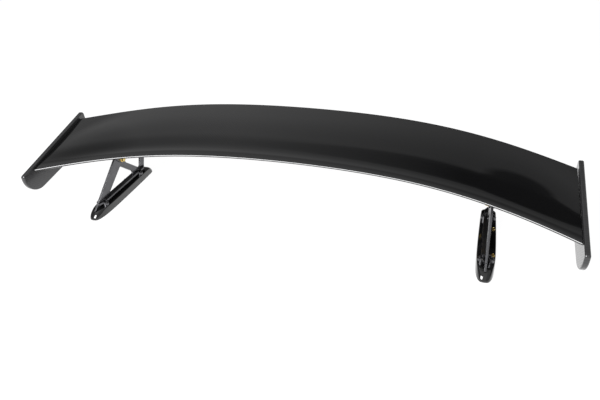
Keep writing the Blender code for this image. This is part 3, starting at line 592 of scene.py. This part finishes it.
def both_sides(name, mesh, look, body, node, smooth=30.0):
    """The left piece and its mirror image; mesh is the left one about the web's middle."""
    twin = mesh.copy()
    twin.transform(Matrix.Diagonal((-1, 1, 1, 1)))
    twin.flip_normals()
    mesh.transform(shift(UPRIGHT_X, 0, 0))
    twin.transform(shift(-UPRIGHT_X, 0, 0))
    return [stand_in(f"{name}_{side}", half, look, body, [f"{node}_{side}"], smooth)
            for side, half in (("left", mesh), ("right", twin))]


# ---------------------------------------------------------------- the blade

def edge_point(u, tip, sweep, arch):
    inboard = 1.0 - u * u
    y = tip[0] + inboard * (sweep[0] + sweep[1] * u ** 2)
    z = tip[1] + inboard * (arch[0] + arch[1] * u ** 2 + arch[2] * u ** 4)
    return Vector((y, z))


def wing_point(x, along, above):
    u = x / SPAN_REF
    nose = edge_point(u, NOSE_TIP, NOSE_SWEEP, NOSE_ARCH)
    tail = edge_point(u, TAIL_TIP, TAIL_SWEEP, TAIL_ARCH)
    chord = (tail - nose) / CHORD
    normal = Vector((-chord.y, chord.x)).normalized()
    place = nose + chord * along + normal * above
    return Vector((x, place.x, place.y))


def section_height(along, upper):
    """Height over the chord of a cambered four-digit section with a blunt tail."""
    s = min(max(along / CHORD, 0.0), 1.0)
    half = 5 * THICKNESS * (0.2969 * math.sqrt(s) - 0.126 * s - 0.3516 * s ** 2
                            + 0.2843 * s ** 3 - 0.1015 * s ** 4)
    p = CAMBER_PLACE
    if s < p:
        sag = CAMBER * (2 * p * s - s * s) / p ** 2
    else:
        sag = CAMBER * (1 - 2 * p + 2 * p * s - s * s) / (1 - p) ** 2
    tail = s * TAIL_THICKNESS / 2
    side = 1 if upper else -1
    return CHORD * (-sag + side * half) + side * tail - tail


def skin_point(x, along, upper, inset=0.0):
    side = 1 if upper else -1
    step = 0.5
    rise = section_height(along + step, upper) - section_height(max(along - step, 0.0), upper)
    run = step + min(along, step)
    normal = Vector((-rise, run)).normalized() * side
    above = section_height(along, upper)
    return wing_point(x, along - normal.x * inset, above - normal.y * inset)


def upper_places():
    """(along, upper?) of the upper skin's rows, from its seam round the nose to the tail."""
    nose = [(SEAM * (1 - k / 10) ** 2, False) for k in range(10)]
    back = [(CHORD * (1 - math.cos(k / CHORD_STEPS * math.pi / 2)) ** 1.15, True)
            for k in range(CHORD_STEPS + 1)]
    return nose + back


def lower_places():
    start = SEAM + SEAM_GAP
    return [(start + (CHORD - start) * (k / CHORD_STEPS) ** 1.35, False)
            for k in range(CHORD_STEPS + 1)]


def skin_mesh(places):
    """A skin of even thickness with UVs in metres, spanwise and chordwise."""
    bm = bmesh.new()
    layer = bm.loops.layers.uv.new("cloth")
    spans = [HALF_SPAN * (2 * i / SPAN_STEPS - 1) for i in range(SPAN_STEPS + 1)]
    where = {}

    def grid(inset):
        rows = []
        for x in spans:
            row = []
            for along, upper in places:
                vert = bm.verts.new(skin_point(x, along, upper, inset) * MM)
                where[vert] = (x * MM, (along if upper else -along) * MM)
                row.append(vert)
            rows.append(row)
        return rows
    outer = grid(0.0)
    inner = grid(SKIN)
    for rows in (outer, inner):
        for a, b in zip(rows, rows[1:]):
            for j in range(len(places) - 1):
                bm.faces.new((a[j], b[j], b[j + 1], a[j + 1]))
    last = len(places) - 1
    for i in range(SPAN_STEPS):
        for j in (0, last):
            bm.faces.new((outer[i][j], outer[i + 1][j], inner[i + 1][j], inner[i][j]))
    for j in range(last):
        for i in (0, SPAN_STEPS):
            bm.faces.new((outer[i][j], outer[i][j + 1], inner[i][j + 1], inner[i][j]))
    bmesh.ops.recalc_face_normals(bm, faces=bm.faces)
    for face in bm.faces:
        for loop in face.loops:
            loop[layer].uv = where[loop.vert]
    return mesh_from(bm)


def build_blade():
    stand_in("upper_skin", skin_mesh(upper_places()), "blade_carbon", "wing",
             ["wing_upper_skin"], 40.0)
    stand_in("lower_skin", skin_mesh(lower_places()), "blade_carbon", "wing",
             ["wing_lower_skin"], 40.0)


def build_endplates():
    outline = rounded(ENDPLATE_CORNERS, 14)
    for side, sign in (("left", 1), ("right", -1)):
        plate = side_plate(outline, PLATE, PLATE_EDGE, 6)
        plate.transform(shift(sign * (PLATE_INNER + PLATE / 2), 0, 0))
        shell = stand_in(f"endplate_shell_{side}", plate, "plate_carbon", "wing",
                         [f"endplate_{side}"], 40.0)
        even_normals(shell)


# ---------------------------------------------------------------- uprights and pedestals

def upright_mesh():
    window = rounded(WINDOW_CORNERS, 10)
    web = side_plate(rounded(UPRIGHT_CORNERS, 10), WEB, UPRIGHT_EDGE, 2)
    rail = sheet(rounded(RAIL_CORNERS, 8), RAIL_TOP - RAIL_THICKNESS, RAIL_TOP)
    bosses = []
    pockets = [side_plate(window, WEB * 3)]
    for y in BOSS_Y:
        for side in (-1, 1):
            bosses.append(boss_mesh(side, y))
            place = (side * BOSS_X, y)
            pocket = BOSS_RADIUS - BOSS_WALL
            pockets.append(cylinder(pocket, BOSS_SEAT, BOSS_TOP + 20, 40, place))
            pockets.append(cylinder(BOSS_HOLE, FOOT - 1, BOSS_SEAT + 1, 32, place))
    pockets.append(across(cylinder(PIVOT_HOLE, -WEB, WEB, 40), *PIVOT))
    pockets.append(across(cylinder(CLAMP_HOLE, -WEB, WEB, 32), *CLAMP))
    return combine([combine([web, rail] + bosses, "UNION")] + pockets, "DIFFERENCE")


def boss_mesh(side, y):
    boss = cylinder(BOSS_RADIUS, FOOT, BOSS_TOP + 4, 48, (side * BOSS_X, y))
    slope = box((60, 40, 30), (18, 0, 15))
    facing = Matrix.Rotation(0 if side > 0 else math.pi, 4, "Z")
    tilt = Matrix.Rotation(BOSS_SLOPE, 4, "Y")
    slope.transform(shift(side * WEB / 2, y, BOSS_TOP) @ facing @ tilt)
    return combine([boss, slope], "DIFFERENCE")


def pedestal_outline(inset, level):
    """Plan at a level from 0, the foot, to 1, the top."""
    raked = 1.0 - math.sqrt(1.0 - level * level)
    narrow = PEDESTAL_DRAFT * level
    widest = PEDESTAL_WIDE[1]
    half = PEDESTAL_WIDE[0] * (1.0 - narrow) - inset
    end = PEDESTAL_END * (1.0 - narrow) - inset
    front = PEDESTAL_FRONT + PEDESTAL_RAKE[0] * raked + inset
    rear = PEDESTAL_REAR - PEDESTAL_RAKE[1] * raked - inset
    power = 2.0 / PEDESTAL_BLUNT
    side = []
    for k in range(1, PEDESTAL_NOSE_STEPS + 1):
        turn = math.pi / 2 * (k / PEDESTAL_NOSE_STEPS) ** 1.3
        reach = (widest - front) * max(math.cos(turn), 0.0) ** power
        side.append((half * math.sin(turn) ** power, widest - reach, 0))
    for k in range(1, 9):
        part = k / 10
        side.append((half - (half - end) * part ** 1.7, widest + (rear - widest) * part, 0))
    side.append((end - 0.5, rear, PEDESTAL_CORNER - inset))
    other = [(-x, y, radius) for x, y, radius in reversed(side)]
    return rounded([(0.0, front, 0)] + side + other, 14)


def pedestal_block(inset, heights):
    """A solid with the pedestal's shape, its surface moved in by an inset."""
    bm = bmesh.new()
    rings = []
    for z in heights:
        level = min((z + inset) / PEDESTAL_TOP, 1.0)
        rise = max(z + inset - (PEDESTAL_TOP - PEDESTAL_SHOULDER), 0.0) / PEDESTAL_SHOULDER
        turned_in = PEDESTAL_SHOULDER * (1.0 - math.sqrt(1.0 - min(rise, 1.0) ** 2))
        outline = pedestal_outline(inset + turned_in, level)
        rings.append([bm.verts.new(Vector((x, y, z)) * MM) for x, y in outline])
    for lower, upper in zip(rings, rings[1:]):
        for i in range(len(lower)):
            bm.faces.new((lower[i - 1], lower[i], upper[i], upper[i - 1]))
    bm.faces.new(rings[0])
    bm.faces.new(rings[-1])
    bmesh.ops.recalc_face_normals(bm, faces=bm.faces)
    return mesh_from(bm)


def pedestal_mesh():
    steps = PEDESTAL_STEPS
    turns = [math.pi / 2 * k / steps for k in range(1, steps + 1)]
    rings = [PEDESTAL_LOW]
    rings += [PEDESTAL_LOW + (PEDESTAL_TOP - PEDESTAL_LOW) * math.sin(t) for t in turns]
    block = pedestal_block(0.0, rings)
    cavity = pedestal_block(PEDESTAL_WALL, [*CAVITY_RINGS, PEDESTAL_TOP - PEDESTAL_WALL])
    holes = [cylinder(SCREW_HOLE, 10, 30, 32, (side * BOSS_X, y))
             for y in BOSS_Y for side in (-1, 1)]
    holes += [cylinder(LEDGE_HOLE, 10, 30, 32, place) for place in LEDGE_BOLTS]
    return combine([block, cavity] + holes, "DIFFERENCE")


def build_supports():
    for web in both_sides("upright_web", upright_mesh(), "black_anodised",
                          "supports", "upright", 28.0):
        soften(web, 0.5)
        even_normals(web)
    for shell in both_sides("pedestal_shell", pedestal_mesh(), "gloss_black",
                            "supports", "pedestal", 35.0):
        even_normals(shell)


# ---------------------------------------------------------------- fasteners

def turned(profile, segments=48):
    """A body of revolution about Z from (radius, height) points, top to bottom."""
    bm = bmesh.new()
    verts = [bm.verts.new(Vector((r, 0, z)) * MM) for r, z in profile]
    edges = [bm.edges.new(pair) for pair in zip(verts, verts[1:])]
    bmesh.ops.spin(bm, geom=verts + edges, cent=(0, 0, 0), axis=(0, 0, 1),
                   angle=math.tau, steps=segments, use_duplicate=False)
    bmesh.ops.remove_doubles(bm, verts=bm.verts, dist=WELD_TURNED)
    bmesh.ops.recalc_face_normals(bm, faces=bm.faces)
    return mesh_from(bm)


def thread(radius, pitch, low, high):
    """Profile points of a thread from high down to low."""
    points = []
    z = high
    while z - pitch > low:
        points += [(radius, z), (radius, z - pitch * 0.15), (radius - 0.45, z - pitch * 0.5),
                   (radius - 0.45, z - pitch * 0.6)]
        z -= pitch
    return points + [(radius - 0.5, low + 0.4), (radius - 1.0, low), (0.0, low)]


def hexagon(flats, low, high, chamfer):
    """A hexagon whose upper corners are turned off."""
    prism = cylinder(flats / math.sqrt(3), low, high, 6)
    corner = flats / math.sqrt(3)
    inside = flats / 2 * 0.96
    turned_off = high - (corner + 1 - inside) * chamfer
    dome = turned([(0, high), (inside, high), (corner + 1, turned_off),
                   (corner + 1, low - 1), (0, low - 1)], 64)
    return combine([prism, dome], "INTERSECT")


def merge(meshes):
    bm = bmesh.new()
    for mesh in meshes:
        bm.from_mesh(mesh)
    return mesh_from(bm)


def flange_bolt_mesh(radius, length, flats, head, flange, pitch):
    """Head above z = 0 and threaded shank below it."""
    skirt = turned([(0, 1.9), (flats / 2, 1.9), (flange - 1.2, 1.25), (flange, 0.7),
                    (flange, 0.0), (radius, 0.0)] + thread(radius, pitch, -length, -0.2))
    top = hexagon(flats, 1.0, head, 0.6)
    dish = turned([(flats * 0.30, head + 0.02), (flats * 0.27, head - 0.35), (0, head - 0.35),
                   (0, head + 1), (flats * 0.30, head + 1)], 40)
    return merge([skirt, combine([top, dish], "DIFFERENCE")])


def flange_nut_mesh(radius, flats, height, flange):
    skirt = turned([(flats / 2, 1.9), (flange - 1.2, 1.25), (flange, 0.7), (flange, 0.0),
                    (radius + 0.3, 0.0), (radius + 0.3, 1.9), (flats / 2, 1.9)])
    block = hexagon(flats, 1.0, height, 0.6)
    hole = cylinder(radius + 0.3, -1, height + 1, 40)
    return merge([skirt, combine([block, hole], "DIFFERENCE")])


def socket_screw_mesh(radius, length, head_radius, head, key):
    profile = [(0, head), (head_radius - 0.6, head), (head_radius, head - 0.6),
               (head_radius, 0.0), (radius, 0.0)]
    body = turned(profile + thread(radius, BIG_PITCH, -length, -0.2), 56)
    socket = cylinder(key / math.sqrt(3), head * 0.4, head + 1, 6)
    return combine([body, socket], "DIFFERENCE")


def place_fastener(node, mesh, look, up, seat):
    """Replaces a CAD fastener: its head's bearing face is at seat, its head points along up."""
    turn = Vector(up).to_track_quat("Z", "Y").to_matrix().to_4x4()
    body = mesh.copy()
    body.transform(Matrix.Translation(seat) @ turn)
    obj = dress(put(node + "_detail", body), look, 32.0)
    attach(obj, body_of(frame["nodes"][node])[0])
    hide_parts(node)


def middle(node):
    low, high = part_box(node)
    return (Vector(low) + Vector(high)) / 2


def build_fasteners():
    bolts = {}
    for name in ("pivot_bolt", "clamp_bolt"):
        low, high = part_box(f"{name}_left")
        length = (high[0] - low[0]) / MM - BIG_HEAD
        bolts[name] = flange_bolt_mesh(BIG_RADIUS, length, BIG_FLATS, BIG_HEAD, BIG_FLANGE,
                                       BIG_PITCH)
    nut = flange_nut_mesh(BIG_RADIUS, BIG_FLATS, BIG_HEAD, BIG_FLANGE)
    for side, sign in (("left", 1), ("right", -1)):
        for name, mesh in bolts.items():
            node = f"{name}_{side}"
            low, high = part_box(node)
            seat = middle(node)
            seat.x = (low[0] if sign > 0 else high[0]) + sign * BIG_HEAD * MM
            place_fastener(node, mesh, "gold_zinc", (-sign, 0, 0), seat)
        for name in ("pivot_nut", "clamp_nut"):
            node = f"{name}_{side}"
            low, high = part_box(node)
            seat = middle(node)
            seat.x = low[0] if sign > 0 else high[0]
            place_fastener(node, nut, "gold_zinc", (sign, 0, 0), seat)
    ledge = flange_bolt_mesh(LEDGE_RADIUS, PEDESTAL_TOP + GAP - SHANK_END, LEDGE_FLATS,
                             SMALL_HEAD, LEDGE_FLANGE, LEDGE_PITCH)
    screw = socket_screw_mesh(BIG_RADIUS, BOSS_SEAT + GAP - SHANK_END, SCREW_HEAD, SMALL_HEAD,
                              SCREW_KEY)
    for side in ("left", "right"):
        for count, name, mesh, look in ((2, "pedestal_bolt", ledge, "gold_zinc"),
                                        (4, "upright_screw", screw, "black_steel")):
            for number in range(1, count + 1):
                node = f"{name}_{side}_{number}"
                seat = middle(node)
                seat.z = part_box(node)[1][2] - SMALL_HEAD * MM
                place_fastener(node, mesh, look, (0, 0, 1), seat)


def build_plain_nodes():
    """The CAD nodes that keep their own mesh: a finish for each, and soft edges."""
    slots = {entry["node"]: entry["material_slot"] for entry in frame["record"]["subparts"]}
    for name, obj in frame["nodes"].items():
        slot = slots[name]
        look = "plate_carbon" if slot == "carbon" else slot
        dress(obj, look)
        if name.startswith(("front_clevis", "rear_slider", "base_plate", "clamp_washer")):
            soften(obj, 0.35)


# ---------------------------------------------------------------- studio

def build_stage():
    bm = bmesh.new()
    bmesh.ops.create_grid(bm, x_segments=1, y_segments=1, size=FLOOR_SIZE)
    floor = put("studio_floor", mesh_from(bm))
    floor.location.z = FLOOR_DROP
    nodes = Nodes(bpy.data.materials.new("pale_floor"))
    nodes.set(Base_Color=(0.05, 0.05, 0.05), Roughness=1.0, Specular_IOR_Level=0.0,
              Emission_Color=(1.0, 1.0, 1.0), Emission_Strength=FLOOR_GLOW)
    floor.data.materials.append(nodes.material)
    bm = bmesh.new()
    bmesh.ops.create_uvsphere(bm, u_segments=48, v_segments=24, radius=FLOOR_SIZE * 1.4)
    backdrop = put("studio_backdrop", mesh_from(bm))
    nodes = Nodes(bpy.data.materials.new("pale_backdrop"))
    nodes.set(Base_Color=(0.0, 0.0, 0.0), Roughness=1.0, Specular_IOR_Level=0.0,
              Emission_Color=(1.0, 1.0, 1.0), Emission_Strength=1.0)
    backdrop.data.materials.append(nodes.material)
    backdrop.visible_glossy = False
    backdrop.visible_diffuse = False
    backdrop.visible_transmission = False
    backdrop.visible_shadow = False


def ceiling(nodes, swing, stops):
    """Grey levels by the angle back from straight overhead, in degrees."""
    first, last = stops[0][0], stops[-1][0]
    place = nodes.math("MULTIPLY_ADD", swing, math.degrees(1.0) / (last - first),
                       -first / (last - first))
    return nodes.ramp(place, [((angle - first) / (last - first), (level, level, level))
                              for angle, level in stops])


def build_world():
    """A pale ceiling that darkens towards the back, beside a darker left wall."""
    nodes = Nodes(bpy.data.worlds.new("studio"), "Background")
    split = nodes.add("ShaderNodeSeparateXYZ", Vector=nodes.coordinates("Generated"))
    x = split.outputs["X"]
    swing = nodes.math("ARCTAN2", split.outputs["Y"], split.outputs["Z"])
    slant = nodes.math("MULTIPLY", nodes.math("MAXIMUM", x, 0.0), CEILING_SLANT)
    swing = nodes.math("ADD", swing, slant)
    left = ceiling(nodes, swing, CEILING_LEFT)
    right = ceiling(nodes, swing, CEILING_RIGHT)
    level = nodes.blend(x, CEILING_SIDES, left, right)
    level = nodes.blend(x, RIGHT_WALL, level, (RIGHT_LEVEL,) * 3)
    shade = nodes.blend(x, LEFT_WALL, (LEFT_SHADE,) * 3, (1.0, 1.0, 1.0))
    colour = nodes.add("ShaderNodeVectorMath")
    colour.operation = "MULTIPLY"
    nodes.tree.links.new(level, colour.inputs[0])
    nodes.tree.links.new(shade, colour.inputs[1])
    nodes.tree.links.new(colour.outputs[0], nodes.shader.inputs["Color"])
    SCENE.world = nodes.material


def area_light(name, place, aim, size, power):
    data = bpy.data.lights.new(name, "AREA")
    data.shape = "RECTANGLE"
    data.size, data.size_y = size
    data.energy = power
    light = put(name, data)
    light.location = place
    light.rotation_euler = (Vector(aim) - Vector(place)).to_track_quat("-Z", "Y").to_euler()
    light.visible_camera = False


def build_lights():
    area_light("front_softbox", SOFTBOX_PLACE, SOFTBOX_AIM, SOFTBOX_SIZE, SOFTBOX_POWER)


def build_camera():
    data = bpy.data.cameras.new("camera")
    data.lens = LENS
    data.sensor_width = 36.0
    data.clip_start = 0.01
    camera = put("camera", data)
    aim = Matrix.Rotation(CAMERA_AZIMUTH, 4, "Z")
    tilt = Matrix.Rotation(math.pi / 2 - CAMERA_ELEVATION, 4, "X")
    roll = Matrix.Rotation(CAMERA_ROLL, 4, "Z")
    camera.matrix_world = Matrix.Translation(CAMERA_PLACE) @ aim @ tilt @ roll
    SCENE.camera = camera


build_plain_nodes()
build_blade()
build_endplates()
build_supports()
build_fasteners()
build_stage()
build_world()
build_lights()
build_camera()
SCENE.view_settings.view_transform = "Standard"
